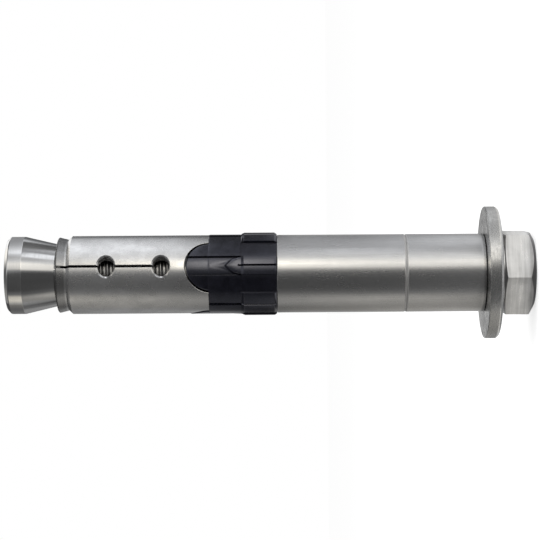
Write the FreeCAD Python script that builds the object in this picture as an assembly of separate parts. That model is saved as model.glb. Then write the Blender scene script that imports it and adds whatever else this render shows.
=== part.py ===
import FreeCAD, Part
import math
import os

# Sleeve anchor for heavy fixings, standing on its hexagon head.
# Origin: centre of the head's end face. +Z runs along the bolt to the cone.
# All sizes in millimetres, all angles in degrees.

os.makedirs("parts", exist_ok=True)
V = FreeCAD.Vector
UP = V(0, 0, 1)

# Hexagon bolt
shank_d = 16.0
tip_inset = 0.8
thread_crest_d = 15.85
thread_length = 50.0
tip_chamfer = 1.2
head_across_flats = 24.0
head_height = 9.4
head_face_d = 20.4
head_chamfer_angle = 30.0
head_under_chamfer_angle = 15.0
bearing_collar_d = 22.5
bearing_collar_height = 1.4
head_edge_azimuth = -109.2

# Flat washer
washer_d = 40.0
washer_bore_d = 17.0
washer_thickness = 4.0
washer_edge_break = 0.6
washer_chamfer_across = 1.0
washer_chamfer_height = 1.2

# Distance sleeve
distance_d = 23.6
distance_bore_d = 17.0
distance_length = 62.7
distance_edge_chamfer = 0.4
mark_from_washer = 23.9
mark_width = 0.4
mark_depth = 0.2

# Collapsible sleeve
collapse_band_d = 24.0
collapse_valley_d = 23.6
rib_d = 25.1
rib_zone_length = 10.6
band_zone_length = 9.8
rib_end_chamfer = 0.6
rib_front_run = 1.1
rib_front_drop = 0.35
narrow_rib_width = 5.5
wide_rib_width = 8.6
rib_groove_width = 0.5
rib_groove_depth = 0.4
rib_groove_overrun = 0.7
channel_width = 6.0
channel_depth = 0.5
pointer_length = 4.75
pointer_point_length = 2.0
pointer_point_width = 4.1
seam_width = 1.5
seam_depth = 0.5

# Expansion sleeve
expansion_d = 23.7
expansion_bore_d = 18.2
expansion_length = 45.8
mouth_depth = 1.2
first_slit_azimuth = -90.0
segment_count = 3
slit_width = 0.7
hole_axial = 5.0
hole_across = 6.4
hole_rim = 0.6
hole_from_front = 15.2
hole_spacing = 16.4
arch_radius = 7.7
arch_depth = 7.2
lip_length = 3.1
lip_front_d = 22.9
lip_neck_d = 21.5
lip_shoulder_run = 1.15

# Cone nut
cone_d = 23.5
cone_nose_d = 18.0
cone_half_angle = 13.4
cone_band_length = 5.2
cone_end_chamfer = 1.0
cone_bore_chamfer = 0.8

# Named clearances
face_gap = 0.05
shank_fit = 0.08
thread_fit = 0.06
taper_gap = 0.06
tongue_gap = 0.45

# Stations along the bolt
bearing_z = head_height + bearing_collar_height
washer_z = bearing_z + face_gap
distance_z = washer_z + washer_thickness + face_gap
collapse_z = distance_z + distance_length
band_z = collapse_z + rib_zone_length
expansion_z = band_z + band_zone_length
front_z = expansion_z + expansion_length
second_hole_z = front_z - hole_from_front
first_hole_z = second_hole_z - hole_spacing

# Resting place of the cone: its taper just meets the mouth of the expansion
# sleeve, which has the same taper with the taper gap added.
cone_r = cone_d / 2
nose_r = cone_nose_d / 2
expansion_in = expansion_bore_d / 2
slope = math.tan(math.radians(cone_half_angle))
mouth_r = expansion_in + slope * mouth_depth
taper_gap_across = taper_gap / math.cos(math.radians(cone_half_angle))
nose_z = front_z - (mouth_r - taper_gap_across - nose_r) / slope
shoulder_z = nose_z + (cone_r - nose_r) / slope
cone_top_z = shoulder_z + cone_band_length
tip_z = cone_top_z - tip_inset
thread_z = tip_z - thread_length


def turned(profile):
    """Solid of revolution about Z from a closed list of (radius, height)."""
    points = [V(r, 0, z) for r, z in profile]
    outline = Part.makePolygon(points + points[:1])
    return Part.Face(outline).revolve(V(0, 0, 0), UP, 360)


def turned_about(shape, azimuth):
    """Copy of a shape built at azimuth 0, turned to its place about Z."""
    placed = shape.copy()
    placed.rotate(V(0, 0, 0), UP, azimuth)
    return placed


def radial_bar(width, inner_r, outer_r, low_z, high_z):
    """Straight bar at azimuth 0 that reaches from one radius to another."""
    corner = V(inner_r, -width / 2, low_z)
    return Part.makeBox(outer_r - inner_r, width, high_z - low_z, corner)


def oval_cutter(across, axial, inner_x, outer_x, flare):
    """Oval plug along X at the origin: two round ends and a straight middle.

    It grows by flare on every side between its inner and its outer end.
    """
    end_r = axial / 2
    end_y = (across - axial) / 2
    depth = outer_x - inner_x
    middle = Part.Face(Part.makePolygon([
        V(inner_x, -end_y, -end_r),
        V(outer_x, -end_y, -end_r - flare),
        V(outer_x, -end_y, end_r + flare),
        V(inner_x, -end_y, end_r),
        V(inner_x, -end_y, -end_r),
    ])).extrude(V(0, 2 * end_y, 0))
    ends = []
    for y in (-end_y, end_y):
        if flare:
            ends.append(Part.makeCone(end_r, end_r + flare, depth, V(inner_x, y, 0), V(1, 0, 0)))
        else:
            ends.append(Part.makeCylinder(end_r, depth, V(inner_x, y, 0), V(1, 0, 0)))
    return middle.fuse(ends).removeSplitter()


segment_angle = 360.0 / segment_count
slit_azimuths = [first_slit_azimuth + i * segment_angle for i in range(segment_count)]
land_azimuths = [a + segment_angle / 2 for a in slit_azimuths]

# Hexagon bolt
hex_r = head_across_flats / 2 / math.cos(math.radians(30))
hex_points = []
for i in range(6):
    angle = math.radians(head_edge_azimuth + 60 * i)
    hex_points.append(V(hex_r * math.cos(angle), hex_r * math.sin(angle), 0))
hexagon = Part.Face(Part.makePolygon(hex_points + hex_points[:1]))
head = hexagon.extrude(V(0, 0, head_height))

# The end chamfer is a cone that trims the flats and corners round the end face.
# A shallower one starts at the flats on the washer side and trims the corners only.
end_face_r = head_face_d / 2
flat_r = head_across_flats / 2
corner_rise = (hex_r - end_face_r) * math.tan(math.radians(head_chamfer_angle))
corner_drop = (hex_r - flat_r) * math.tan(math.radians(head_under_chamfer_angle))
trim = turned([
    (0, 0),
    (end_face_r, 0),
    (hex_r, corner_rise),
    (hex_r, head_height - corner_drop),
    (flat_r, head_height),
    (0, head_height),
])
head = head.common(trim)
bearing_collar = Part.makeCylinder(bearing_collar_d / 2, bearing_collar_height, V(0, 0, head_height))
shank_r = shank_d / 2
crest_r = thread_crest_d / 2
shank = turned([
    (0, head_height - 1),
    (shank_r, head_height - 1),
    (shank_r, thread_z),
    (crest_r, thread_z),
    (crest_r, tip_z - tip_chamfer),
    (crest_r - tip_chamfer, tip_z),
    (0, tip_z),
])
hex_bolt = head.fuse([bearing_collar, shank]).removeSplitter()

# Flat washer, its rim broken on the sleeve side and chamfered on the head side
washer_r = washer_d / 2
washer_top_z = washer_z + washer_thickness
flat_washer = turned([
    (washer_bore_d / 2, washer_z),
    (washer_r - washer_chamfer_across, washer_z),
    (washer_r, washer_z + washer_chamfer_height),
    (washer_r, washer_top_z - washer_edge_break),
    (washer_r - washer_edge_break, washer_top_z),
    (washer_bore_d / 2, washer_top_z),
])

# Distance sleeve
distance_r = distance_d / 2
distance_in = distance_bore_d / 2
edge = distance_edge_chamfer
mark_z = distance_z + mark_from_washer
distance_sleeve = turned([
    (distance_in, distance_z),
    (distance_r - edge, distance_z),
    (distance_r, distance_z + edge),
    (distance_r, mark_z - mark_width / 2),
    (distance_r - mark_depth, mark_z),
    (distance_r, mark_z + mark_width / 2),
    (distance_r, collapse_z - edge),
    (distance_r - edge, collapse_z),
    (distance_in, collapse_z),
])

# Collapsible sleeve: a turned body whose front is cut back to three tongues, with
# channels and grooves cut into it, and ribs and pointers raised on it.
band_r = collapse_band_d / 2
valley_r = collapse_valley_d / 2
rib_r = rib_d / 2
collapse_in = shank_r + shank_fit
expansion_r = expansion_d / 2
floor_r = band_r - channel_depth
tongue_z = expansion_z + arch_depth
body = turned([
    (collapse_in, collapse_z),
    (valley_r, collapse_z),
    (valley_r, band_z),
    (band_r, band_z),
    (band_r, tongue_z),
    (expansion_in, tongue_z),
    (expansion_in, expansion_z),
    (collapse_in, expansion_z),
])

# The arches in the expansion sleeve are round cuts, centred behind its rear edge.
arch_z = tongue_z - arch_radius
front_ring = turned([
    (expansion_in - 1, expansion_z),
    (band_r + 1, expansion_z),
    (band_r + 1, tongue_z + 1),
    (expansion_in - 1, tongue_z + 1),
])
tongue_pin = Part.makeCylinder(arch_radius - tongue_gap, band_r + 2, V(0, 0, arch_z), V(1, 0, 0))
between_tongues = front_ring.cut([turned_about(tongue_pin, a) for a in slit_azimuths])
body = body.cut(between_tongues)

channel_ring = turned([
    (floor_r, band_z),
    (rib_r, band_z),
    (rib_r, tongue_z + 1),
    (floor_r, tongue_z + 1),
])
channel = channel_ring.common(radial_bar(channel_width, 0, rib_r + 1, band_z, tongue_z + 1))
seam_bar = radial_bar(seam_width, band_r - seam_depth, rib_r + 1, band_z, expansion_z)
cuts = [turned_about(channel, a) for a in slit_azimuths]
cuts += [turned_about(seam_bar, a) for a in land_azimuths]
body = body.cut(cuts)

root_r = floor_r - channel_depth
rib_ring = turned([
    (root_r, collapse_z),
    (rib_r - rib_end_chamfer, collapse_z),
    (rib_r, collapse_z + rib_end_chamfer),
    (rib_r, band_z - rib_front_run),
    (rib_r - rib_front_drop, band_z),
    (root_r, band_z),
])
narrow_rib = rib_ring.common(radial_bar(narrow_rib_width, 0, rib_r + 1, collapse_z, band_z))
wide_rib = rib_ring.common(radial_bar(wide_rib_width, 0, rib_r + 1, collapse_z, band_z))

# The pointer carries on from its rib, flush with the end of the rib's front slope.
# It narrows gently at first, then runs to a blunt point.
pointer_base_z = band_z - rib_front_run
pointer_tip_z = band_z + pointer_length
pointer_r = rib_r - rib_front_drop
half_rib = narrow_rib_width / 2
half_point = pointer_point_width / 2
pointer_outline = Part.makePolygon([
    V(0, -half_rib, pointer_base_z),
    V(0, half_rib, pointer_base_z),
    V(0, half_rib, band_z),
    V(0, half_point, pointer_tip_z - pointer_point_length),
    V(0, 0, pointer_tip_z),
    V(0, -half_point, pointer_tip_z - pointer_point_length),
    V(0, -half_rib, band_z),
    V(0, -half_rib, pointer_base_z),
])
pointer_ring = turned([
    (root_r, pointer_base_z),
    (pointer_r, pointer_base_z),
    (pointer_r, pointer_tip_z),
    (root_r, pointer_tip_z),
])
pointer = Part.Face(pointer_outline).extrude(V(rib_r + 1, 0, 0)).common(pointer_ring)
raised = [turned_about(narrow_rib, a) for a in slit_azimuths]
raised += [turned_about(wide_rib, a) for a in land_azimuths]
raised += [turned_about(pointer, a) for a in slit_azimuths]
body = body.fuse(raised)

groove_floor_r = rib_r - rib_groove_depth
groove_end_z = band_z + rib_groove_overrun
rib_groove = radial_bar(rib_groove_width, groove_floor_r, rib_r + 1, collapse_z - 1, groove_end_z)
body = body.cut([turned_about(rib_groove, a) for a in slit_azimuths + land_azimuths])
collapsible_sleeve = body.removeSplitter()

# Cone nut
tapped_r = crest_r + thread_fit
cone_nut = turned([
    (tapped_r, nose_z),
    (nose_r, nose_z),
    (cone_r, shoulder_z),
    (cone_r, cone_top_z - cone_end_chamfer),
    (cone_r - cone_end_chamfer, cone_top_z),
    (tapped_r + cone_bore_chamfer, cone_top_z),
    (tapped_r, cone_top_z - cone_bore_chamfer),
])

# Expansion sleeve
lip_front_r = lip_front_d / 2
neck_z = front_z - lip_length
sleeve = turned([
    (expansion_in, expansion_z),
    (expansion_r, expansion_z),
    (expansion_r, neck_z - lip_shoulder_run),
    (lip_neck_d / 2, neck_z),
    (lip_front_r, front_z),
    (mouth_r, front_z),
    (expansion_in, front_z - mouth_depth),
])
reach = expansion_r + 2
arch = Part.makeCylinder(arch_radius, reach, V(0, 0, arch_z), V(1, 0, 0))
slit = radial_bar(slit_width, 1, reach, first_hole_z, front_z + 1)
hole = oval_cutter(hole_across, hole_axial, 1, reach, 0)
rim_floor = expansion_r - 1.5 * hole_rim
rim = oval_cutter(hole_across, hole_axial, rim_floor, expansion_r + hole_rim, 1.7 * hole_rim)
cutters = [arch, slit]
for hole_z in (first_hole_z, second_hole_z):
    for cutter in (hole, rim):
        placed = cutter.copy()
        placed.translate(V(0, 0, hole_z))
        cutters.append(placed)
sleeve = sleeve.cut([turned_about(c, a) for c in cutters for a in slit_azimuths])
expansion_sleeve = sleeve.removeSplitter()

nodes = {
    "hex_bolt": hex_bolt,
    "flat_washer": flat_washer,
    "distance_sleeve": distance_sleeve,
    "collapsible_sleeve": collapsible_sleeve,
    "expansion_sleeve": expansion_sleeve,
    "cone_nut": cone_nut,
}
for name, shape in nodes.items():
    solid = shape.Solids[0] if len(shape.Solids) == 1 else shape
    solid.exportStep("parts/" + name + ".step")
    box = solid.BoundBox
    print(name, "solids", len(shape.Solids), "valid", shape.isValid(),
          "volume %.1f" % shape.Volume, "z %.2f to %.2f" % (box.ZMin, box.ZMax))
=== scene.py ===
# %% [markdown]
# A heavy sleeve anchor, standing on its hexagon head.
# Six steel and plastic pieces share one axis, so nearly every form here is
# either turned, wound or rolled. Each step below first says what the piece is
# on the real object, then how it could be made, and why one way was taken.
# Lengths are worked out in millimetres and brought to metres at the end.

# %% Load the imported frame
import bpy
import bmesh
import math
from mathutils import Matrix, Vector


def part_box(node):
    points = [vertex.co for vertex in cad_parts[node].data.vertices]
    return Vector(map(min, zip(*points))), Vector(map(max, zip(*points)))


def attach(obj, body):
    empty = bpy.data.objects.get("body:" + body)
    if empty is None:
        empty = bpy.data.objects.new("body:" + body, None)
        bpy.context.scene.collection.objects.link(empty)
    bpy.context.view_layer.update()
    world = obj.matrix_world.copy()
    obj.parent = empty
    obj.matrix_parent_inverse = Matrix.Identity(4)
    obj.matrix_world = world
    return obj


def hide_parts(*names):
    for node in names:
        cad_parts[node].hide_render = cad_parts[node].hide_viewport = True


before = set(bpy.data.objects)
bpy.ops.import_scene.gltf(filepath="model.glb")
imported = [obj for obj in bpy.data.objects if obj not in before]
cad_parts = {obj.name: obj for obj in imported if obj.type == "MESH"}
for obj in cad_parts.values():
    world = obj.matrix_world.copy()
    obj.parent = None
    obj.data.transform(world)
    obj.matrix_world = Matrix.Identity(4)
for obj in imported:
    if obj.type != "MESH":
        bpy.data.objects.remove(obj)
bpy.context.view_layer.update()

# %% [markdown]
# The camera comes first, because every later choice is judged through it.
# The picture shows the anchor lying down. Laying the pieces down would take
# them out of the frame that the CAD model gives, so the camera is rolled until
# the bolt's axis points left. A small turn towards the cone end and a long
# lens repeat the slight swelling of the circles at both ends of the picture.

# %% Camera
picture_px = 540
focal_px = 1768.0
stand_off_mm = 537.8
sensor_mm = 36.0
view_azimuth = math.radians(-102.5)
aim_z_mm = 73.7
turn_to_cone_deg = 0.641
axis_px_below_centre = 3.65
roll = math.radians(0.39)

toward_camera = Vector((math.cos(view_azimuth), math.sin(view_azimuth), 0))
picture_up = Vector((-toward_camera.y, toward_camera.x, 0))
anchor_up = Vector((0, 0, 1))

right = -anchor_up * math.cos(roll) - picture_up * math.sin(roll)
up = picture_up * math.cos(roll) - anchor_up * math.sin(roll)
base = Matrix((right, up, toward_camera)).transposed()
turn_to_cone = Matrix.Rotation(math.radians(turn_to_cone_deg), 3, "Y")
tip_up = Matrix.Rotation(math.atan(axis_px_below_centre / focal_px), 3, "X")

camera_data = bpy.data.cameras.new("camera")
camera_data.sensor_width = sensor_mm
camera_data.lens = sensor_mm * focal_px / picture_px
camera_data.clip_start = 0.01
camera = bpy.data.objects.new("camera", camera_data)
bpy.context.scene.collection.objects.link(camera)
stand_off = toward_camera * (stand_off_mm / 1000)
camera_turn = (base @ turn_to_cone @ tip_up).to_4x4()
camera.matrix_world = Matrix.Translation(stand_off + anchor_up * aim_z_mm / 1000) @ camera_turn
bpy.context.scene.camera = camera
bpy.context.scene.view_settings.view_transform = "Standard"
print("lens", round(camera_data.lens, 1), "mm at", round(stand_off.length, 3), "m")

# %% [markdown]
# The stage is a white sweep: a floor that stays white to the camera and still
# takes a soft shadow, and a white world behind it. Polished metal shows only
# what stands round it, so a real photographer hangs cards and soft boxes at
# the sides. Here one ring of card does that. It is seen by reflections only,
# and its brightness runs round the ring from soft box to dark card and back.

# %% Stage helpers
def new_material(name):
    """A material with an empty node tree, and that tree's nodes and links."""
    material = bpy.data.materials.new(name)
    material.use_nodes = True
    material.node_tree.nodes.clear()
    return material, material.node_tree.nodes, material.node_tree.links


def math_node(nodes, links, operation, first, second=None):
    """One Math node, fed by sockets or plain numbers."""
    node = nodes.new("ShaderNodeMath")
    node.operation = operation
    for socket, value in zip(node.inputs, (first, second)):
        if value is None:
            continue
        if isinstance(value, (int, float)):
            socket.default_value = value
        else:
            links.new(value, socket)
    return node.outputs[0]


def seen_directly(nodes, links):
    """1 for camera, glossy and transmission rays, else 0."""
    rays = nodes.new("ShaderNodeLightPath").outputs
    either = math_node(nodes, links, "MAXIMUM", rays["Is Camera Ray"], rays["Is Glossy Ray"])
    return math_node(nodes, links, "MAXIMUM", either, rays["Is Transmission Ray"])


def colour_mix(nodes, links, share, first, second, blend="MIX"):
    """Mixes two colours, each a socket or a plain (r, g, b), by a value."""
    mix = nodes.new("ShaderNodeMix")
    mix.data_type = "RGBA"
    mix.blend_type = blend
    links.new(share, mix.inputs["Factor"])
    for name, colour in (("A", first), ("B", second)):
        if isinstance(colour, tuple):
            mix.inputs[name].default_value = (*colour, 1)
        else:
            links.new(colour, mix.inputs[name])
    return mix.outputs["Result"]


def distance_from_axis(nodes, links, place):
    """How far a point lies from the bolt's axis, from a Separate XYZ node."""
    squares = [math_node(nodes, links, "MULTIPLY", place.outputs[side], place.outputs[side]) for side in "XY"]
    return math_node(nodes, links, "SQRT", math_node(nodes, links, "ADD", *squares))


def to_surface(nodes, links, shader):
    """Joins a shader to the material's output."""
    links.new(shader.outputs[0], nodes.new("ShaderNodeOutputMaterial").inputs["Surface"])


def link_object(name, bm):
    """An object at the origin from a bmesh in metres."""
    mesh = bpy.data.meshes.new(name)
    bm.to_mesh(mesh)
    bm.free()
    obj = bpy.data.objects.new(name, mesh)
    bpy.context.scene.collection.objects.link(obj)
    return obj


# %% World
world = bpy.data.worlds.new("white_room")
bpy.context.scene.world = world
world.use_nodes = True
nodes, links = world.node_tree.nodes, world.node_tree.links
nodes.clear()
background = nodes.new("ShaderNodeBackground")
background.inputs["Color"].default_value = (1, 1, 1, 1)
room_fill = 0.45
seen = seen_directly(nodes, links)
lift = math_node(nodes, links, "MULTIPLY", seen, 1 - room_fill)
links.new(math_node(nodes, links, "ADD", lift, room_fill), background.inputs["Strength"])
world_out = nodes.new("ShaderNodeOutputWorld")
links.new(background.outputs[0], world_out.inputs["Surface"])
print("room fill", room_fill)

# %% Floor
floor_radius_m = 3.0
bm = bmesh.new()
bmesh.ops.create_circle(bm, cap_ends=True, segments=64, radius=floor_radius_m)
floor = link_object("floor", bm)
material, nodes, links = new_material("white_floor")
diffuse = nodes.new("ShaderNodeBsdfDiffuse")
floor_white, floor_lift = 0.8, 0.62
diffuse.inputs["Color"].default_value = (floor_white, floor_white, floor_white, 1)
glow = nodes.new("ShaderNodeEmission")
links.new(math_node(nodes, links, "MULTIPLY", seen_directly(nodes, links), floor_lift), glow.inputs["Strength"])
both = nodes.new("ShaderNodeAddShader")
links.new(diffuse.outputs[0], both.inputs[0])
links.new(glow.outputs[0], both.inputs[1])
to_surface(nodes, links, both)
floor.data.materials.append(material)
print("floor", floor_radius_m, "m to its edge")

# %% [markdown]
# The ring has a floor and a ceiling of card too. Each piece of the anchor
# mirrors one height of the ring, or one circle of its floor or ceiling, so
# each of those places has its own list of brightness against angle. A picture
# of a studio would do too, but it would be one more file to carry. Here colour
# ramps read the lists, and each one fades into the next across the floor, up
# the wall and in over the ceiling.

# %% Ring of cards
ring_radius = 0.40
tent_height = 0.55
above_floor = 0.0001
bm = bmesh.new()
bmesh.ops.create_cone(bm, cap_ends=True, segments=96, radius1=ring_radius, radius2=ring_radius, depth=tent_height)
bmesh.ops.translate(bm, verts=bm.verts, vec=(0, 0, tent_height / 2 + above_floor))
cards = link_object("reflection_cards", bm)
cards.visible_camera = False
cards.visible_diffuse = False
cards.visible_shadow = False
cards.visible_volume_scatter = False
print("ring of cards", ring_radius, "m from the axis")

# %% Brightness of the cards
# Each stop is (degrees from the camera, level, warmth), with degrees positive
# towards the top of the picture. A list is named after what mirrors it.
chamfer_cards = [(-180, 0.30, 0), (-90, 0.22, 0), (-40, 0.10, 0), (0, 0.10, 0), (40, 0.20, 0), (80, 0.40, 0),
                 (180, 0.30, 0)]
head_cards = [(-180, 0.85, 0), (-120, 0.62, 0), (-96, 0.74, 0.8), (-60, 0.84, 0.8), (-44, 0.30, 0),
              (-20, 0.12, 0), (8, 0.12, 0), (20, 0.60, 0), (32, 1.15, 0.6), (60, 1.15, 0.6), (90, 0.90, 0.6),
              (180, 0.85, 0)]
washer_cards = [(-180, 0.24, 0), (-132, 0.18, 0), (-112, 0.08, 1), (-74, 0.05, 1), (-58, 0.10, 0),
                (-42, 0.10, 0), (-12, 0.13, 0), (8, 0.19, 0), (18, 0.58, 1), (25, 1.60, 1), (40, 1.55, 1),
                (50, 0.72, 0), (58, 0.14, 0), (82, 0.16, 0), (98, 0.50, 0), (116, 0.60, 0), (150, 0.36, 0),
                (180, 0.24, 0)]
sleeve_cards = [(-180, 0.90, 0), (-158, 0.36, 0), (-134, 0.24, 1), (-116, 0.22, 1), (-104, 0.29, 1),
                (-70, 0.32, 1), (-58, 0.15, 0), (-44, 0.09, 0), (-20, 0.09, 0), (6, 0.10, 0), (13, 0.20, 0),
                (18, 1.35, 1), (33, 1.56, 1), (42, 1.24, 0), (56, 1.16, 0), (64, 0.42, -0.5), (78, 0.38, -0.5),
                (88, 0.56, -0.5), (98, 0.72, -0.5), (116, 0.74, -0.5), (140, 0.46, -0.5), (158, 0.38, 0),
                (180, 0.90, 0)]
foot_cards = [(-180, 0.90, 0), (-158, 0.50, 0), (-134, 0.50, 1), (-116, 0.34, 1), (-104, 0.40, 1),
              (-70, 0.42, 1), (-58, 0.27, 0), (-44, 0.17, 0), (-20, 0.15, 0), (5, 0.17, 0), (12, 0.22, 0),
              (18, 1.15, 1), (33, 1.46, 1), (42, 1.18, 0), (56, 1.02, 0), (66, 0.62, -0.5), (78, 0.68, -0.5),
              (98, 0.92, -0.5), (116, 0.88, -0.5), (140, 0.56, -0.5), (158, 0.40, 0), (180, 0.90, 0)]
taper_cards = [(-180, 0.40, 0), (-134, 0.40, 1), (-113, 0.34, 1), (-97, 0.38, 1), (-84, 0.52, 1),
               (-72, 0.52, 1), (-60, 0.18, 0), (-46, 0.09, 0), (-20, 0.07, 0), (6, 0.08, 0), (13, 0.18, 0),
               (20, 1.00, 1), (36, 1.15, 1), (44, 0.94, 0), (56, 0.90, 0), (65, 0.52, -0.5), (78, 0.52, -0.5),
               (92, 0.64, -0.5), (112, 0.62, -0.5), (140, 0.44, -0.5), (180, 0.40, 0)]
streak_cards = [(-180, 0.80, 0), (-158, 0.36, 0), (-134, 0.24, 1), (-113, 0.24, 1), (-97, 0.36, 1),
                (-84, 0.50, 1), (-72, 0.44, 1), (-60, 0.13, 0), (-46, 0.07, 0), (-20, 0.07, 0), (6, 0.08, 0),
                (13, 0.20, 0), (19, 1.30, 1), (36, 1.40, 1), (43, 0.80, 0), (49, 0.56, 0), (56, 0.60, 0),
                (60, 1.30, -0.5), (75, 1.40, -0.5), (79, 0.46, -0.5), (90, 0.44, -0.5), (105, 0.34, -0.5),
                (136, 0.26, -0.5), (158, 0.38, 0), (180, 0.80, 0)]
collar_cards = [(-180, 0.14, 0), (-134, 0.12, 0), (-122, 0.06, 0), (-112, 0.06, 0), (-102, 0.26, 0),
                (-90, 0.36, 0), (-74, 0.24, 0), (-61, 0.15, 0), (-48, 0.05, 0), (-12, 0.05, 0), (-2, 0.20, 0),
                (9, 0.28, 0), (14, 0.60, 1), (20, 1.30, 2), (27, 2.20, 2), (37, 2.20, 2), (43, 1.10, 1),
                (50, 0.56, 0), (66, 0.38, 0), (82, 0.30, 0), (98, 0.20, 0), (112, 0.14, 0), (180, 0.14, 0)]
hoop_cards = [(-180, 0.44, 0), (-142, 0.48, 0), (-130, 0.20, 0), (-105, 0.15, 0), (-80, 0.15, 0),
              (-68, 0.12, 0), (-59, 0.07, 0), (-48, 0.01, 0), (-12, 0.01, 0), (-2, 0.12, 0), (8, 0.20, 0),
              (14, 0.60, 1), (20, 2.60, 2), (27, 4.00, 2), (36, 4.00, 2), (43, 1.30, 1), (50, 0.34, 0),
              (66, 0.18, 0), (82, 0.22, 0), (98, 0.17, 0), (124, 0.12, 0), (180, 0.12, 0)]
grip_cards = [(-180, 0.24, 0), (-136, 0.34, 0), (-120, 0.32, 0), (-108, 0.34, 1), (-90, 0.40, 1),
              (-78, 0.48, 1), (-66, 0.42, 1), (-56, 0.26, 0), (-40, 0.17, 0), (-10, 0.18, 0), (4, 0.20, 0),
              (13, 0.34, 0), (20, 0.90, 1.6), (36, 0.94, 1.6), (44, 1.22, 0), (58, 1.34, 0), (66, 1.34, -0.5),
              (71, 1.48, -0.5), (87, 1.48, -0.5), (98, 1.30, -0.5), (113, 0.96, -0.5), (130, 0.62, -0.5),
              (142, 0.20, -0.5), (180, 0.06, 0)]
band_cards = [(-180, 0.24, 0), (-119, 0.14, 0), (-100, 0.22, 1), (-90, 0.50, 1), (-80, 0.84, 2),
              (-67, 0.74, 2), (-59, 0.20, 0), (-46, 0.07, 0), (-10, 0.07, 0), (6, 0.09, 0), (14, 0.26, 0),
              (20, 0.85, 1), (34, 1.20, 1), (44, 0.85, 0), (55, 0.62, 0), (64, 0.86, -0.5), (69, 1.25, -0.5),
              (77, 1.20, -0.5), (86, 0.86, -0.5), (100, 0.60, -0.5), (116, 0.46, -0.5), (180, 0.24, 0)]
slope_cards = [(-180, 0.08, 0), (-60, 0.07, 0), (0, 0.16, 0), (16, 0.80, 0), (32, 0.90, 0), (50, 0.20, 0),
               (90, 0.12, 0), (133, 0.10, 0), (140, 1.30, 0), (164, 1.30, 0), (174, 0.20, 0), (180, 0.08, 0)]
edge_cards = [(-180, 0.50, 0), (-150, 0.30, 0), (-60, 0.30, 0), (60, 0.90, 0), (150, 1.00, 0), (180, 0.80, 0)]
ceiling_cards = [(-180, 0.20, 0), (-160, 0.32, 0), (-120, 0.36, 1), (-80, 0.20, 0), (-20, 0.18, 0),
                 (20, 0.60, 0), (90, 0.90, 1), (130, 1.42, 1), (150, 1.34, 1), (166, 0.60, 0), (180, 0.20, 0)]
ceiling_middle_cards = [(-180, 0.14, 0), (180, 0.14, 0)]

# Where each list fades in, as (from, to, list), in metres from the axis over
# the floor and in metres of height up the wall.
across_floor = ((0.017, 0.019, edge_cards), (0.027, 0.031, head_cards), (0.080, 0.092, washer_cards),
                (0.132, 0.150, foot_cards), (0.330, 0.380, taper_cards))
up_wall = ((0.026, 0.036, streak_cards), (0.056, 0.064, sleeve_cards), (0.074, 0.082, collar_cards),
           (0.097, 0.101, hoop_cards), (0.122, 0.128, grip_cards), (0.198, 0.206, band_cards),
           (0.226, 0.240, slope_cards))
ceiling_middle_ends, ceiling_starts = (0.06, 0.25), (0.500, 0.540)
print(len(across_floor) + len(up_wall) + 3, "lists of cards")

# %% Helpers for the cards
card_scale = 5.0
warm_red, warm_blue = 0.03, -0.06


def card_ramp(nodes, links, share, stops):
    """Colour ramp of brightness round the ring, as a share of card_scale."""
    ramp = nodes.new("ShaderNodeValToRGB")
    ramp.color_ramp.interpolation = "LINEAR"
    elements = ramp.color_ramp.elements
    while len(elements) > 1:
        elements.remove(elements[-1])
    for i, (angle, level, warmth) in enumerate(stops):
        place = (angle + 180) / 360
        element = elements[0] if i == 0 else elements.new(place)
        element.position = place
        share_of_scale = level / card_scale
        red, blue = 1 + warm_red * warmth, 1 + warm_blue * warmth
        element.color = (share_of_scale * red, share_of_scale, share_of_scale * blue, 1)
    links.new(share, ramp.inputs["Fac"])
    return ramp.outputs["Color"]


def blend_over(nodes, links, value, start, end, first, second):
    """Goes from one colour to another as value passes from start to end."""
    step = nodes.new("ShaderNodeMapRange")
    step.interpolation_type = "SMOOTHSTEP"
    step.inputs["From Min"].default_value = start
    step.inputs["From Max"].default_value = end
    links.new(value, step.inputs["Value"])
    return colour_mix(nodes, links, step.outputs[0], first, second)


# %% Card material
material, nodes, links = new_material("card_ring")
where = nodes.new("ShaderNodeTexCoord")
turn = nodes.new("ShaderNodeMapping")
turn.inputs["Rotation"].default_value = (0, 0, -view_azimuth)
links.new(where.outputs["Object"], turn.inputs["Vector"])
split = nodes.new("ShaderNodeSeparateXYZ")
links.new(turn.outputs[0], split.inputs[0])
angle = math_node(nodes, links, "ARCTAN2", split.outputs["Y"], split.outputs["X"])
share = math_node(nodes, links, "MULTIPLY_ADD", angle, 1 / math.tau)
share.node.inputs[2].default_value = 0.5
reach = distance_from_axis(nodes, links, split)
rise = split.outputs["Z"]
shown = card_ramp(nodes, links, share, chamfer_cards)
for value, fades in ((reach, across_floor), (rise, up_wall)):
    for start, end, stops in fades:
        shown = blend_over(nodes, links, value, start, end, shown, card_ramp(nodes, links, share, stops))
middle = card_ramp(nodes, links, share, ceiling_middle_cards)
outer = card_ramp(nodes, links, share, ceiling_cards)
ceiling = blend_over(nodes, links, reach, *ceiling_middle_ends, middle, outer)
shown = blend_over(nodes, links, rise, *ceiling_starts, shown, ceiling)
glow = nodes.new("ShaderNodeEmission")
glow.inputs["Strength"].default_value = card_scale
links.new(shown, glow.inputs["Color"])
to_surface(nodes, links, glow)
cards.data.materials.append(material)
print("card material has", len(nodes), "nodes")

# %% [markdown]
# The cards light nothing but reflections. The floor's shadow and the plastic's
# soft shading need real lamps. Small lamps would throw hard shadows, so three
# wide ones stand round the anchor, weak enough that white stays white.

# %% Lamps
lamps_aim_z = 0.08


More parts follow.
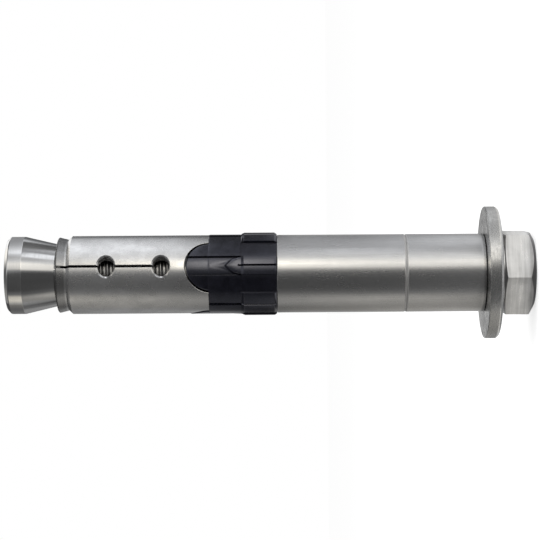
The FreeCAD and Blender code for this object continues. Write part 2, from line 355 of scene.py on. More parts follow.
def soft_lamp(name, angle_deg, rise_deg, distance, size, power):
    """Area lamp that looks at the middle of the anchor."""
    azimuth = view_azimuth + math.radians(angle_deg)
    rise = math.radians(rise_deg)
    away = Vector((math.cos(azimuth) * math.cos(rise), math.sin(azimuth) * math.cos(rise), math.sin(rise)))
    data = bpy.data.lights.new(name, "AREA")
    data.size = size
    data.energy = power
    lamp = bpy.data.objects.new(name, data)
    lamp.location = away * distance + Vector((0, 0, lamps_aim_z))
    lamp.rotation_mode = "QUATERNION"
    lamp.rotation_quaternion = away.to_track_quat("Z", "Y")
    lamp.visible_glossy = False
    bpy.context.scene.collection.objects.link(lamp)


soft_lamp("key_lamp", angle_deg=45, rise_deg=35, distance=0.9, size=0.6, power=3.2)
soft_lamp("fill_lamp", angle_deg=-70, rise_deg=25, distance=0.9, size=0.7, power=1.2)
soft_lamp("back_lamp", angle_deg=150, rise_deg=45, distance=0.9, size=0.7, power=1.4)
print("stage is ready")

# %% [markdown]
# A turned part is a profile swept once round the axis. The profile can be
# drawn with every small radius in it, or drawn with sharp corners that are
# then rounded. Rounding a flat face's corners is quick and never tangles, so
# the profile starts as one face, its corners are bevelled, the face is thrown
# away and its outline is spun.

# %% Helpers for turned pieces
round_steps = 192


def add_mesh(bm, other):
    """Moves the faces of other into bm."""
    copy = bpy.data.meshes.new("part")
    other.to_mesh(copy)
    other.free()
    bm.from_mesh(copy)
    bpy.data.meshes.remove(copy)


def turned_piece(bm, profile, rounding, steps=round_steps, segments=3):
    """Spins a closed (radius, height) profile into bm.

    rounding is one radius, or one for each corner.
    """
    blank = bmesh.new()
    corners = [blank.verts.new((r, 0, z)) for r, z in profile]
    blank.faces.new(corners)
    each = [rounding] * len(corners) if isinstance(rounding, (int, float)) else rounding
    for vert, radius in zip(corners, each):
        if radius > 0 and vert.co.x > 0:
            bmesh.ops.bevel(blank, geom=[vert], offset=radius, offset_type="OFFSET", segments=segments,
                            profile=0.5, affect="VERTICES", material=-1)
    bmesh.ops.delete(blank, geom=blank.faces[:], context="FACES_ONLY")
    bmesh.ops.spin(blank, geom=blank.verts[:] + blank.edges[:], cent=(0, 0, 0), axis=(0, 0, 1),
                   angle=math.tau, steps=steps, use_merge=True, use_duplicate=False)
    bmesh.ops.remove_doubles(blank, verts=blank.verts, dist=0.0005)
    bmesh.ops.recalc_face_normals(blank, faces=blank.faces)
    add_mesh(bm, blank)


print("round pieces have", round_steps, "sides")

# %% [markdown]
# Every piece ends in the same way: it is brought to metres, shaded, and tied
# to its body in place of the CAD node. Smooth shading alone would smear broad
# flats into their narrow rounded edges. So each corner's normal is the mean of
# the faces near its own direction, and large faces count for more.

# %% Helpers for finishing a piece
def settle(bm, name, body, node, sharp_deg=32):
    """Brings a bmesh from millimetres to metres, shades it and ties it to its body."""
    bmesh.ops.scale(bm, verts=bm.verts, vec=(0.001, 0.001, 0.001))
    limit = math.cos(math.radians(sharp_deg))
    bm.faces.ensure_lookup_table()
    bm.normal_update()
    corner_normals = []
    for face in bm.faces:
        face.smooth = True
        for corner in face.loops:
            near = [f for f in corner.vert.link_faces if f.normal.dot(face.normal) > limit]
            total = Vector((0, 0, 0))
            for f in near:
                total += f.normal * f.calc_area()
            corner_normals.append(total.normalized() if total.length > 0 else face.normal.copy())
    obj = link_object(name, bm)
    obj.data.normals_split_custom_set(corner_normals)
    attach(obj, body)
    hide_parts(node)
    lo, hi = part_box(node)
    print(name, len(obj.data.polygons), "faces, CAD node from", round(lo.z, 4), "to", round(hi.z, 4))
    return obj


def node_span(node):
    """Lowest and highest point of a CAD node, in millimetres."""
    lo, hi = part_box(node)
    return lo.z * 1000, hi.z * 1000


# %% [markdown]
# The washer is stamped from thick plate. The side that faces the head has a
# chamfered rim, the other side a tighter one, and the bore is a clean hole. A
# ring with a bevel modifier would have the same edge all over. A spun profile
# gives each corner its own, so the washer is turned.

# %% Washer
washer_low, washer_high = node_span("flat_washer")
washer_bore, washer_radius, chamfer_across, chamfer_up = 8.5, 20.0, 0.6, 0.7
washer_rounding = [0.2, 0.2, 0.25, 0.3, 0.2]
bm = bmesh.new()
turned_piece(bm, [(washer_bore, washer_low), (washer_radius - chamfer_across, washer_low),
                  (washer_radius, washer_low + chamfer_up), (washer_radius, washer_high),
                  (washer_bore, washer_high)], washer_rounding, segments=4)
washer = settle(bm, "washer_plate", "washer", "flat_washer")

# %% [markdown]
# The distance sleeve is a length of drawn tube with broken edges. One fine
# line is engraved round it to show how deep the anchor sits. The line could be
# painted on as a darker band, but then it would catch no light. As a notch in
# the profile it costs four more points.

# %% Distance sleeve
tube_low, tube_high = node_span("distance_sleeve")
tube_bore, tube_radius = 8.5, 11.8
mark, mark_half, mark_floor_half, mark_depth = tube_low + 23.9, 0.28, 0.08, 0.2
mark_radius = tube_radius - mark_depth
bore_edge, outer_edge, mark_edge = 0.2, 0.35, 0.03
bm = bmesh.new()
turned_piece(bm, [(tube_bore, tube_low), (tube_radius, tube_low), (tube_radius, mark - mark_half),
                  (mark_radius, mark - mark_floor_half), (mark_radius, mark + mark_floor_half),
                  (tube_radius, mark + mark_half), (tube_radius, tube_high), (tube_bore, tube_high)],
             [bore_edge, outer_edge] + [mark_edge] * 4 + [outer_edge, bore_edge])
tube = settle(bm, "distance_tube", "sleeves", "distance_sleeve")

# %% [markdown]
# The slit sleeve and the black collar are both tubes with a pattern that
# repeats three times round. Cutting a finished tube with solids leaves slivers
# where the cut grazes the wall. A press shop would stamp flat strip and roll
# it, and that is the cleaner way here too: half of one third is drawn flat,
# given its wall and its edge radii, ruled with fold lines, mirrored, and only
# then rolled up and repeated.

# %% Helpers for rolled pieces
roll_radius = 12.0
half_third = roll_radius * math.pi / 3
seam_lines = (0.0, half_third)
fold_count = 26
touching = 1e-4


def flat_plate(outline, wall):
    """Plate from a closed outline of (distance round, distance along), outer side up."""
    bm = bmesh.new()
    face = bm.faces.new([bm.verts.new((u, s, 0)) for u, s in outline])
    made = bmesh.ops.extrude_face_region(bm, geom=[face], use_keep_orig=True)
    lifted = [e for e in made["geom"] if isinstance(e, bmesh.types.BMVert)]
    bmesh.ops.translate(bm, verts=lifted, vec=(0, 0, wall))
    bmesh.ops.recalc_face_normals(bm, faces=bm.faces)
    return bm


def on_seam(vert):
    """True on the two lines where the plate is joined to its neighbours."""
    return any(abs(vert.co.x - seam) < touching for seam in seam_lines)


def soften_outline(bm, wall, radius, wanted, segments=3):
    """Rounds the outline's outer edge where wanted(u, s) is true at the middle of an edge."""
    picked = []
    for edge in bm.edges:
        a, b = edge.verts
        level = abs(a.co.z - wall) < touching and abs(b.co.z - wall) < touching
        upright = any(abs(f.normal.z) < 0.2 for f in edge.link_faces)
        joined = on_seam(a) and on_seam(b) and abs(a.co.x - b.co.x) < touching
        middle = (a.co + b.co) / 2
        if level and upright and not joined and wanted(middle.x, middle.y):
            picked.append(edge)
    bmesh.ops.bevel(bm, geom=picked, offset=radius, offset_type="OFFSET", segments=segments,
                    profile=0.5, affect="EDGES", material=-1, clamp_overlap=False)
    return len(picked)


def rule_line(bm, point, normal):
    """Cuts one straight line right across the plate."""
    bmesh.ops.bisect_plane(bm, geom=bm.verts[:] + bm.edges[:] + bm.faces[:], dist=1e-5,
                           plane_co=point, plane_no=normal)


def rule_lengthwise(bm, distances_round):
    """Rules lines that run along the tube."""
    for u in distances_round:
        rule_line(bm, (u, 0, 0), (1, 0, 0))


def rule_crosswise(bm, distances_along):
    """Rules lines that run round the tube."""
    for s in distances_along:
        rule_line(bm, (0, s, 0), (0, 1, 0))


def roll_up(bm, wall, inner, outer, low, first_azimuth):
    """Mirrors the half third, bends it round the axis and repeats it three times."""
    seams = [f for f in bm.faces
             if any(all(abs(v.co.x - seam) < touching for v in f.verts) for seam in seam_lines)]
    bmesh.ops.delete(bm, geom=seams, context="FACES_ONLY")
    bmesh.ops.mirror(bm, geom=bm.verts[:] + bm.edges[:] + bm.faces[:], axis="X", merge_dist=0.0005)
    for vert in bm.verts:
        around, along, depth = vert.co.x / roll_radius, vert.co.y, vert.co.z / wall
        bottom, top = inner(along), outer(math.degrees(abs(around)), along)
        radius = bottom + (top - bottom) * depth
        angle = around + math.radians(first_azimuth)
        vert.co = (radius * math.cos(angle), radius * math.sin(angle), low + along)
    bmesh.ops.spin(bm, geom=bm.verts[:] + bm.edges[:] + bm.faces[:], cent=(0, 0, 0), axis=(0, 0, 1),
                   angle=math.tau, steps=3, use_merge=False, use_duplicate=True)
    bmesh.ops.remove_doubles(bm, verts=bm.verts, dist=0.002)
    bmesh.ops.recalc_face_normals(bm, faces=bm.faces)
    open_edges = sum(1 for e in bm.edges if len(e.link_faces) != 2)
    print("rolled piece:", len(bm.faces), "faces,", open_edges, "open edges")


def round_distance(across, radius):
    """Distance round, on the flat plate, of a point that lies across mm beside the middle."""
    return roll_radius * math.asin(min(1.0, across / radius))


folds = [half_third * i / fold_count for i in range(1, fold_count)]
print("half of one third is", round(half_third, 2), "mm wide, with", len(folds), "folds")

# %% [markdown]
# The expansion sleeve has three slits that run back from its front, two oval
# holes on each slit so that the wall can bend, a turned lip at the front and
# three round arches at the rear. All of that is outline on the flat strip. The
# holes' rims are chamfered wide enough to catch the light, and the other edges
# are only broken, so the two are softened one after the other.

# %% Sizes of the expansion sleeve
grip_low, grip_high = node_span("expansion_sleeve")
grip_length = grip_high - grip_low
grip_wall = 2.75
grip_radius, grip_bore = 11.85, 9.1
mouth_radius, mouth_depth = 9.386, 1.2
arch_radius, arch_depth = 7.7, 7.2
arch_centre = arch_depth - arch_radius
slit_half = 0.35
hole_from_front, hole_spacing = 15.2, 16.4
front_hole = grip_length - hole_from_front
rear_hole = front_hole - hole_spacing
hole_across, hole_along = 3.2, 2.5
shoulder_at, neck_at, lip_round_at = grip_length - 4.25, grip_length - 3.1, grip_length - 0.3
neck_radius, lip_radius, lip_round = 10.75, 11.45, 3
rim_chamfer, broken_edge = 0.42, 0.14
print("holes at", round(rear_hole, 2), "and", round(front_hole, 2), "mm along the sleeve")


# %% Outline of the expansion sleeve
def arch_points(radius, centre, tube_radius, start, count=28):
    """Points of an arch from its foot at start to its crown on the centre line."""
    first = math.asin((start - centre) / radius)
    points = []
    for i in range(count + 1):
        t = first + (math.pi / 2 - first) * i / count
        points.append((round_distance(radius * math.cos(t), tube_radius), centre + radius * math.sin(t)))
    points[-1] = (0.0, centre + radius)
    return points


def oval_points(centre, from_u, to_u, count=26):
    """Half an oval, from its rear to its front, starting and ending where it meets the given widths."""
    first = -math.pi / 2 + math.asin(from_u / hole_across)
    last = math.pi / 2 - math.asin(to_u / hole_across)
    points = []
    for i in range(count + 1):
        t = first + (last - first) * i / count
        points.append((hole_across * math.cos(t), centre + hole_along * math.sin(t)))
    return points


outline = arch_points(arch_radius, arch_centre, grip_radius, 0.0)
rear_oval = oval_points(rear_hole, 0.0, slit_half)
outline += [(0.0, rear_oval[0][1])] + rear_oval[1:]
outline += oval_points(front_hole, slit_half, slit_half)
outline += [(slit_half, grip_length), (half_third, grip_length), (half_third, 0.0)]
bm = flat_plate(outline, grip_wall)
print("outline has", len(outline), "points")


# %% Edges and folds of the expansion sleeve
def beside_slit(u):
    return u <= slit_half + 0.01


def on_rim(u, s):
    """True on the rim of a hole, where the slit doesn't cut it."""
    near = any((u / (hole_across + 0.1)) ** 2 + ((s - centre) / (hole_along + 0.1)) ** 2 < 1
               for centre in (rear_hole, front_hole))
    return near and (not beside_slit(u) or s < rear_hole - 1)


rims = soften_outline(bm, grip_wall, rim_chamfer, on_rim, segments=1)
edges = soften_outline(bm, grip_wall, broken_edge, lambda u, s: s < arch_depth + 1 or beside_slit(u))
print("rim edges", rims, "outline edges", edges)
rule_lengthwise(bm, folds)
rule_crosswise(bm, (shoulder_at - 0.3, shoulder_at, neck_at, grip_length - mouth_depth, lip_round_at,
                    grip_length - 0.12))


# %% Rolling the expansion sleeve
def grip_outer(angle, along):
    """Outer radius, the same at every angle: straight wall, chamfered shoulder, flared lip."""
    if along <= shoulder_at:
        return grip_radius
    if along <= neck_at:
        return grip_radius + (neck_radius - grip_radius) * (along - shoulder_at) / (neck_at - shoulder_at)
    flare = (along - neck_at) / (lip_round_at - neck_at)
    radius = neck_radius + (lip_radius - neck_radius) * min(1.0, flare)
    return radius - max(0.0, along - lip_round_at) ** 2 * lip_round


def grip_inner(along):
    """Bore, opened at the mouth to the taper of the cone."""
    past_bore = max(0.0, along - (grip_length - mouth_depth))
    return grip_bore + (mouth_radius - grip_bore) * past_bore / mouth_depth


roll_up(bm, grip_wall, grip_inner, grip_outer, grip_low, -90)
grip = settle(bm, "slit_expansion_sleeve", "sleeves", "expansion_sleeve", 20)

# %% [markdown]
# The collar is moulded. Its ribs, channels, pointers and grooves are relief a
# few tenths of a millimetre high on a plain tube. Raising them as separate
# solids would leave joints, so the plate is ruled four times along each side
# wall of the relief, and each point then takes the height that the relief has
# there. The walls lean a little, as they must to leave a mould, and their top
# and foot are rounded.

# %% Sizes of the collar
collar_low = node_span("collapsible_sleeve")[0]
collar_bore, collar_wall = 8.08, 3.9
band_radius, valley_radius, rib_radius, floor_radius = 12.0, 11.8, 12.55, 11.5
rib_end, band_end, ribs_to_band = 10.6, 20.4, 0.12
tongue_gap = 0.45
tongue_radius = arch_radius - tongue_gap
tongue_centre = band_end + arch_depth - arch_radius
tongue_rounding, ring_rounding = 0.40, 0.12
rear_chamfer_drop, rear_chamfer_run = 0.6, 0.8
front_slope_drop, front_slope_run = 0.35, 0.75
tip_at, point_at, point_half, narrow_half = rib_end + 4.75, rib_end + 2.75, 2.05, 2.75
pointer_radius, pointer_lean = 12.2, 0.55
groove_floor, groove_over, groove_fade, groove_depth, far_groove_depth = 12.1, 0.7, 0.3, 0.75, 0.4
slot_depth, crease_depth, crease_half = 0.35, 0.05, 0.18

# Each wall of the relief: where it reaches full height, and where it ends.
channel_wall = (round_distance(2.85, band_radius), round_distance(2.98, band_radius))
slot_edge = (round_distance(2.45, band_radius), round_distance(2.52, band_radius))
narrow_wall = (round_distance(2.85, rib_radius), round_distance(3.0, rib_radius))
groove_wall = (-0.10, 0.30)
wide_wall = (half_third - round_distance(4.45, rib_radius), half_third - round_distance(4.3, rib_radius))
seam_wall = (half_third - round_distance(0.85, band_radius), half_third - round_distance(0.75, band_radius))
far_groove_wall = (half_third - 0.36, half_third - 0.12)
print("ribs stand", round(rib_radius - valley_radius, 2), "mm high")

# %% Plate of the collar
outline = [(half_third, 0.0), (half_third, band_end)]
outline += arch_points(tongue_radius, tongue_centre, band_radius, band_end)
outline += [(0.0, 0.0)]
bm = flat_plate(outline, collar_wall)
soften_outline(bm, collar_wall, tongue_rounding, lambda u, s: s > band_end + 0.02)
soften_outline(bm, collar_wall, ring_rounding, lambda u, s: s <= band_end + 0.02)

rule_lengthwise(bm, folds)
for first, last in (slot_edge, channel_wall, narrow_wall, groove_wall, wide_wall, seam_wall, far_groove_wall):
    rule_lengthwise(bm, [first + (last - first) * i / 3 for i in range(4)])
groove_end = rib_end + groove_over
rule_crosswise(bm, (0.2, 0.6, rear_chamfer_run))
rule_crosswise(bm, [rib_end + past for past in (-0.85, -0.65, -0.1, 0, ribs_to_band / 2, ribs_to_band)])
rule_crosswise(bm, [groove_end + past for past in (-0.1, 0.05, 0.15, groove_fade)])
rule_crosswise(bm, [band_end + past for past in (-crease_half, -0.02, 0.01, crease_half)])
blunt_side = Vector((tip_at - point_at, point_half, 0)).normalized()
long_side = Vector((narrow_half - point_half, point_at - rib_end, 0))
long_side = Vector((long_side.y, long_side.x, 0)).normalized()
for side in (blunt_side, long_side):
    for i in range(4):
        rule_line(bm, Vector((point_half, point_at, 0)) + side * (pointer_lean * (i / 3 - 0.5)), side)
print("collar plate has", len(bm.faces), "faces")


# %% Relief of the collar
def rounded_step(value, first, last):
    """0 up to first, 1 from last, with a soft start and end."""
    share = min(1.0, max(0.0, (value - first) / (last - first)))
    return share * share * (3 - 2 * share)


def collar_outer(angle, along):
    """Outer radius of the collar, with all its relief."""
    u = math.radians(angle) * roll_radius
    past_ribs = rounded_step(along, rib_end, rib_end + ribs_to_band)
    channel = 1 - rounded_step(u, *channel_wall)
    slot = rounded_step(u, *slot_edge) * channel
    seam = rounded_step(u, *seam_wall)
    front = band_radius - (band_radius - floor_radius) * max(channel, seam) - slot_depth * slot
    rib = max(1 - rounded_step(u, *narrow_wall), rounded_step(u, *wide_wall))
    rear_chamfer = rear_chamfer_drop * (1 - rounded_step(along, -0.3, rear_chamfer_run))
    front_slope = front_slope_drop * min(1.0, max(0.0, (along - (rib_end - front_slope_run)) / front_slope_run))
    rear = valley_radius + (rib_radius - rear_chamfer - front_slope - valley_radius) * rib
    radius = rear + (front - rear) * past_ribs
    if along >= rib_end:
        corner = Vector((point_half, point_at, 0))
        inside = min((corner - Vector((u, along, 0))).dot(side) for side in (blunt_side, long_side))
        radius += (pointer_radius - radius) * rounded_step(inside, -pointer_lean / 2, pointer_lean / 2)
    groove = max((1 - rounded_step(u, *groove_wall)) * groove_depth,
                 rounded_step(u, *far_groove_wall) * far_groove_depth)
    groove *= 1 - rounded_step(along, groove_end, groove_end + groove_fade)
    if radius > groove_floor - 0.25:
        radius -= groove * min(1.0, (radius - groove_floor + 0.25) / 0.4)
    return radius - crease_depth * (1 - rounded_step(abs(along - band_end), 0.0, crease_half))


def collar_inner(along):
    """The tongues are as thick as the sleeve that they enter; the ring is thicker."""
    return collar_bore if along < band_end + 0.005 else grip_bore


roll_up(bm, collar_wall, collar_inner, collar_outer, collar_low, -90)
collar = settle(bm, "black_collar", "sleeves", "collapsible_sleeve", 50)

# %% [markdown]
# A screw thread is a ridge wound round a core. One section of the ridge is
# drawn, and the spin is given a small rise at each step, which makes a helix.
# The same helix with its ridge turned inward threads the cone. Both start at
# places half a pitch apart, so the two ridges lie in each other's grooves,
# and they stay there as the cone travels two millimetres for each turn.

# %% Helpers for threads
pitch = 2.0


def wound_ridge(section, start_z, turns, steps_a_turn=56):
    """Closed helical ridge from a section of (radius, height), in a bmesh of its own."""
    bm = bmesh.new()
    ring = [bm.verts.new((r, 0, start_z + z)) for r, z in section]
    cap = bm.faces.new(ring)
    steps = int(turns * steps_a_turn)
    bmesh.ops.spin(bm, geom=[cap] + ring + list(cap.edges), cent=(0, 0, 0), axis=(0, 0, 1),
                   dvec=(0, 0, pitch / steps_a_turn), angle=math.tau * turns, steps=steps,
                   use_merge=False, use_duplicate=False)
    loose = [e for e in bm.edges if len(e.link_faces) == 1]
    if loose:
        bmesh.ops.holes_fill(bm, edges=loose, sides=0)
    bmesh.ops.recalc_face_normals(bm, faces=bm.faces)
    return bm


def limit_radius(vert, limit):
    """Draws a point in towards the axis until it is no further out than limit."""
    radius = math.hypot(vert.co.x, vert.co.y)
    if radius > limit:
        vert.co.x *= limit / radius
        vert.co.y *= limit / radius


print("thread pitch", pitch, "mm")

# %% [markdown]
# The bolt is forged in one piece: a hexagon head with a thirty degree chamfer
# on its end, a thin bearing collar, a plain shank and the thread. The chamfer
# is a cone that meets six flats, which gives each flat its curved edge. Here
# one loop of points is extruded from station to station, and each station
# says how far out its points lie at each angle.

# %% Stations of the hexagon bolt
bolt_high = node_span("hex_bolt")[1]
flat_half, head_height, end_face = 12.0, 9.4, 10.2
collar_radius, bearing_z, shank_radius = 11.25, 10.8, 8.0
thread_start = bolt_high - 50.0
edge_azimuth = math.radians(-109.2)
edge_least_radius, edge_stops_below, edge_rounding = 13.8, 0.6, 0.28
chamfer_slope, under_slope = math.tan(math.radians(30)), math.tan(math.radians(10))
loop_points = 180


def hexagon_radius(angle):
    """How far out the hexagon lies at an angle."""
    sixth = math.radians(60)
    offset = (angle - edge_azimuth) % sixth - sixth / 2
    return flat_half / math.cos(offset)


def round_station(radius, z):
    """A plain circle."""
    return lambda angle: (radius, z)


def under_station(inset, drop):
    """Ring near the washer side, where a shallow cone trims the corners only."""
    return lambda angle: (hexagon_radius(angle) - inset,
                          head_height - (hexagon_radius(angle) - flat_half) * under_slope - drop)


def chamfer_station(angle):
    """Where the chamfer's cone meets the six flats."""
    radius = hexagon_radius(angle)
    return radius, (radius - end_face) * chamfer_slope


# Small steps between stations break the edges of the head, its collar and the shank.
stations = [round_station(end_face, 0.0), chamfer_station, under_station(0, 0.18), under_station(0.06, 0.06),
            under_station(0.2, 0.0), round_station(flat_half - 0.3, head_height),
            round_station(collar_radius + 0.15, head_height), round_station(collar_radius, head_height + 0.15),
            round_station(collar_radius, bearing_z - 0.12), round_station(collar_radius - 0.12, bearing_z),
            round_station(shank_radius + 0.3, bearing_z), round_station(shank_radius, bearing_z + 0.3),
            round_station(shank_radius, thread_start - 0.3), round_station(shank_radius - 0.9, thread_start)]
print(len(stations), "stations from the head's end to the thread")

# %% Head and shank
bm = bmesh.new()
bmesh.ops.create_circle(bm, cap_ends=False, segments=loop_points, radius=end_face)
bmesh.ops.rotate(bm, verts=bm.verts, cent=(0, 0, 0), matrix=Matrix.Rotation(edge_azimuth, 3, "Z"))
loop_edges = bm.edges[:]
for station in stations[1:]:
    grown = bmesh.ops.extrude_edge_only(bm, edges=loop_edges)["geom"]
    loop_edges = [e for e in grown if isinstance(e, bmesh.types.BMEdge)]
    for vert in [e for e in grown if isinstance(e, bmesh.types.BMVert)]:
        angle = math.atan2(vert.co.y, vert.co.x)
        radius, z = station(angle)
        vert.co = (radius * math.cos(angle), radius * math.sin(angle), z)
bmesh.ops.holes_fill(bm, edges=[e for e in bm.edges if len(e.link_faces) == 1], sides=0)
hex_edges = []
for edge in bm.edges:
    a, b = edge.verts
    upright = abs(a.co.x - b.co.x) < touching and abs(a.co.y - b.co.y) < touching
    at_corner = math.hypot(a.co.x, a.co.y) > edge_least_radius
    if upright and at_corner and max(a.co.z, b.co.z) < head_height - edge_stops_below:
        hex_edges.append(edge)
bmesh.ops.bevel(bm, geom=hex_edges, offset=edge_rounding, offset_type="OFFSET", segments=3, profile=0.5,
                affect="EDGES", material=-1, clamp_overlap=True)
bmesh.ops.recalc_face_normals(bm, faces=bm.faces)
print("rounded", len(hex_edges), "edges between the flats")

# %% Thread of the bolt
# The ridge's section goes foot, flank, crest, flank, foot, and its foot lies
# inside the core. The ridge fades into the core at both ends.
core_radius, crest_radius = 6.79, 7.925
turned_piece(bm, [(0, thread_start - 1), (core_radius, thread_start - 1), (core_radius, bolt_high - 0.25),
                  (core_radius - 0.25, bolt_high), (0, bolt_high)], 0.0, steps=96)
ridge_section = [(6.70, -0.79), (6.84, -0.735), (7.885, -0.145), (crest_radius, -0.09), (crest_radius, 0.09),
                 (7.885, 0.145), (6.84, 0.735), (6.70, 0.79)]
thread_first = thread_start + 0.6
ridge = wound_ridge(ridge_section, thread_first, (bolt_high - thread_first) / pitch - 0.35)
for vert in ridge.verts:
    limit_radius(vert, core_radius - 0.05 + (bolt_high - vert.co.z))
    limit_radius(vert, core_radius + max(0.0, vert.co.z - thread_start) * 0.6)
add_mesh(bm, ridge)
bolt = settle(bm, "threaded_hex_bolt", "bolt", "hex_bolt", 28)

# %% [markdown]
# The cone is turned from bar: a taper that seats in the sleeve's mouth, a
# short parallel band, a broken edge, and a tapped bore right through. Cutting
# the thread out with the bolt's own shape would leave the two touching. So the
# bore is turned plain, and the inward ridge is wound inside it.

# %% Cone nut
nose_low, cone_high = node_span("cone_nut")
cone_radius, nose_radius, tapped_radius, taper = 11.75, 9.0, 7.985, math.radians(13.4)
end_chamfer, bore_chamfer, ridge_inset, buried_radius = 1.0, 0.8, 0.9, 8.03
cone_rounding = [0.1, 0.15, 0.06, 0.2, 0.2, 0.1, 0.1]
shoulder = nose_low + (cone_radius - nose_radius) / math.tan(taper)
bm = bmesh.new()
turned_piece(bm, [(tapped_radius, nose_low), (nose_radius, nose_low), (cone_radius, shoulder),
                  (cone_radius, cone_high - end_chamfer), (cone_radius - end_chamfer, cone_high),
                  (tapped_radius + bore_chamfer, cone_high), (tapped_radius, cone_high - bore_chamfer)],
             cone_rounding)

# Here the foot lies outside the bore, and the ridge fades into its wall.
nut_section = [(8.05, -0.87), (7.96, -0.80), (6.98, -0.25), (6.95, -0.20), (6.95, 0.20), (6.98, 0.25),
               (7.96, 0.80), (8.05, 0.87)]
turns_before = round((nose_low + ridge_inset - thread_first) / pitch - 0.5)
nut_first = thread_first + (turns_before + 0.5) * pitch
ridge = wound_ridge(nut_section, nut_first, (cone_high - ridge_inset - nut_first) / pitch)
for vert in ridge.verts:
    radius = math.hypot(vert.co.x, vert.co.y)
    room = max(0.0, min(cone_high - vert.co.z - 0.1, vert.co.z - nose_low - 0.1))
    faded = max(radius, buried_radius - room * 1.2)
    vert.co.x *= faded / radius
    vert.co.y *= faded / radius
add_mesh(bm, ridge)
cone = settle(bm, "tapped_cone", "cone", "cone_nut", 28)

# %% [markdown]
# Stainless steel has little colour of its own. What tells the pieces apart is
# how each was worked: the tube is drawn, so its marks run lengthwise, the cone
# is turned, so they run round, the head is forged and brushed, and the washer
# is stamped and tumbled. One recipe makes them all: a metal shader whose
# roughness, tint and fine bump come from noise that is stretched along the
# marks, with a second, broader noise for handling stains. Near the axis the
# steel can be given a deeper grey, partly for thread oil and partly as painted
# shade. Bands along the axis can be darkened as painted shade too.

# %% Helpers for materials
def noise(nodes, links, vector, scale, detail=3.0, rough=0.6):
    """Noise texture at a scale, fed by a vector socket."""
    node = nodes.new("ShaderNodeTexNoise")
    node.inputs["Scale"].default_value = scale
    node.inputs["Detail"].default_value = detail
    node.inputs["Roughness"].default_value = rough
    links.new(vector, node.inputs["Vector"])
    return node.outputs["Fac"]


def stretched(nodes, links, source, scale):
    """Object coordinates scaled by different amounts along each axis."""
    mapping = nodes.new("ShaderNodeMapping")
    mapping.inputs["Scale"].default_value = scale
    links.new(source, mapping.inputs["Vector"])
    return mapping.outputs[0]


def spread(nodes, links, value, low, high, from_low=0.3, from_high=0.7):
    """Maps the middle of a noise onto a range."""
    node = nodes.new("ShaderNodeMapRange")
    for name, number in (("From Min", from_low), ("From Max", from_high), ("To Min", low), ("To Max", high)):
        node.inputs[name].default_value = number
    links.new(value, node.inputs["Value"])
    return node.outputs[0]


def within(nodes, links, value, middle, half, blur, most=1.0):
    """most where value is within half of the middle, and 0 outside that."""
    away = math_node(nodes, links, "ABSOLUTE", math_node(nodes, links, "SUBTRACT", value, middle))
    return spread(nodes, links, away, most, 0.0, half - blur, half + blur)


def fine_bump(nodes, links, height, depth, shader):
    """Bump of a depth in metres on a shader."""
    bump = nodes.new("ShaderNodeBump")
    bump.inputs["Strength"].default_value = 1.0
    bump.inputs["Distance"].default_value = depth
    links.new(height, bump.inputs["Height"])
    links.new(bump.outputs[0], shader.inputs["Normal"])


print("noise, bump and bands are at hand")

# %% Recipe for stainless steel
noise_middle = (0.35, 0.65)
band_blur_m = 0.0001


def grey(level):
    """A plain grey."""
    return (level, level, level)


def steel(name, dark, light, roughness, lay, lay_depth, stain_scale, matt_line=None, oil_and_shade=None, painted_shade_bands=()):
    """Stainless steel between two tints and two values of roughness.

    lay stretches the tool marks, and lay_depth is their bump in metres.
    matt_line is the height and half width of an etched line.
    The radius and grey near the axis darken the steel there: partly thread oil, partly painted shade.
    The bands, as (low, high, share of light left), darken the steel with painted shade.
    """
    material, nodes, links = new_material(name)
    where = nodes.new("ShaderNodeTexCoord").outputs["Object"]
    place = nodes.new("ShaderNodeSeparateXYZ")
    links.new(where, place.inputs[0])
    height = place.outputs["Z"]
    marks = noise(nodes, links, stretched(nodes, links, where, lay), 1.0, 4.0, 0.65)
    stains = noise(nodes, links, where, stain_scale, 4.0, 0.6)
    both = math_node(nodes, links, "MULTIPLY_ADD", marks, 0.6)
    links.new(math_node(nodes, links, "MULTIPLY", stains, 0.4), both.node.inputs[2])
    even = spread(nodes, links, both, 0, 1, *noise_middle)
    colour = colour_mix(nodes, links, even, dark, light)
    rough = spread(nodes, links, both, roughness[1], roughness[0], *noise_middle)
    if matt_line:
        middle, half = matt_line
        etched = within(nodes, links, height, middle, half, half * 0.3, most=0.32)
        rough = math_node(nodes, links, "ADD", rough, etched)
    # Darker steel inside a radius near the axis: partly thread oil, partly painted shade on the thread seen
    # through the sleeve's holes and on the washer where the tube stands on it.
    if oil_and_shade:
        oil_and_shade_radius, oil_and_shade_grey = oil_and_shade
        from_axis = distance_from_axis(nodes, links, place)
        inside = spread(nodes, links, from_axis, 1.0, 0.0, oil_and_shade_radius, oil_and_shade_radius + band_blur_m)
        colour = colour_mix(nodes, links, inside, colour, grey(oil_and_shade_grey))
    # Painted shade: each band darkens the steel by its share of light left.
    for low, high, left in painted_shade_bands:
        inside = within(nodes, links, height, (low + high) / 2, (high - low) / 2, band_blur_m)
        colour = colour_mix(nodes, links, inside, colour, grey(left), "MULTIPLY")
    shader = nodes.new("ShaderNodeBsdfPrincipled")
    shader.inputs["Metallic"].default_value = 1.0
    links.new(colour, shader.inputs["Base Color"])
    links.new(rough, shader.inputs["Roughness"])
    fine_bump(nodes, links, marks, lay_depth, shader)
    to_surface(nodes, links, shader)
    print(name, "has", len(nodes), "nodes")
    return material


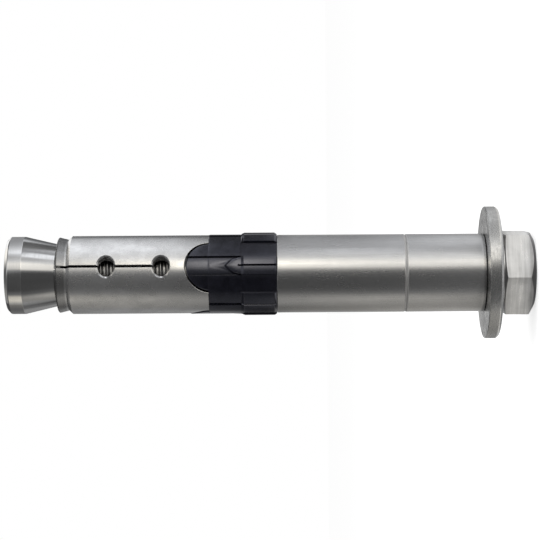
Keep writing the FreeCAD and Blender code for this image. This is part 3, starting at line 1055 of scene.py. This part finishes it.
# %% Steel of each piece
tube_foot, mark_height = tube_low / 1000, mark / 1000
# Painted shade on the expansion sleeve: a darker lip and a darker front edge.
painted_shade_lip_mm = 2.6
lip_top, lip_foot = grip_high / 1000, (grip_high - painted_shade_lip_mm) / 1000
# Painted shade: a darker band at the tube's foot, beside the washer.
tube_foot_painted_shade = ((tube_foot - 0.001, tube_foot + 0.0009, 0.72),)
lip_painted_shade = ((lip_foot - 0.001, lip_foot, 0.96), (lip_foot, lip_top, 0.64),
             (lip_top - 0.0004, lip_top + 0.001, 0.45))
drawn = steel("drawn_tube", grey(0.58), grey(0.65), (0.235, 0.28), (2600, 2600, 60), 0.6e-6, 260,
              matt_line=(mark_height, 0.0005), painted_shade_bands=tube_foot_painted_shade)
pressed = steel("rolled_sleeve", grey(0.59), grey(0.71), (0.22, 0.31), (250, 250, 190), 0.8e-6, 120,
                painted_shade_bands=lip_painted_shade)
turned_bar = steel("turned_cone", grey(0.60), grey(0.67), (0.07, 0.14), (120, 120, 5200), 2.0e-6, 240)
# The bolt's shank and thread and the washer's inner ring get a darker grey: thread oil, and painted shade.
forged = steel("forged_bolt", grey(0.44), grey(0.76), (0.24, 0.38), (24, 24, 760), 4e-6, 150,
               oil_and_shade=(0.0082, 0.36))
stamped = steel("stamped_washer", grey(0.46), (0.67, 0.67, 0.66), (0.20, 0.34), (500, 500, 1300), 5e-6, 420,
                oil_and_shade=(0.0121, 0.26))

# %% [markdown]
# The collar is injection moulded in black plastic, smooth but not polished.
# A dark grey with a dull surface would look like rubber. So the pigment is
# nearly black and the sheen does the rest: low, slightly uneven, with a very
# fine grain from the mould.

# %% Black plastic
black, nodes, links = new_material("black_moulding")
where = nodes.new("ShaderNodeTexCoord").outputs["Object"]
grain = noise(nodes, links, where, 5200, 2.0, 0.6)
cloud = noise(nodes, links, where, 420, 3.0, 0.6)
shader = nodes.new("ShaderNodeBsdfPrincipled")
shader.inputs["IOR"].default_value = 1.6
shader.inputs["Specular IOR Level"].default_value = 0.78
shader.inputs["Specular Tint"].default_value = (0.82, 0.85, 1.0, 1)
deep_black, faded_black = (0.002, 0.002, 0.004), (0.004, 0.004, 0.008)
pigment = colour_mix(nodes, links, spread(nodes, links, cloud, 0, 1), deep_black, faded_black)
links.new(pigment, shader.inputs["Base Color"])
links.new(spread(nodes, links, cloud, 0.13, 0.19), shader.inputs["Roughness"])
fine_bump(nodes, links, grain, 4e-6, shader)
to_surface(nodes, links, shader)
print("black_moulding has", len(nodes), "nodes")

# %% Finish on each piece
for piece, finish in ((washer, stamped), (tube, drawn), (grip, pressed), (collar, black), (bolt, forged),
                      (cone, turned_bar)):
    piece.data.materials.append(finish)
print("finishes are on")
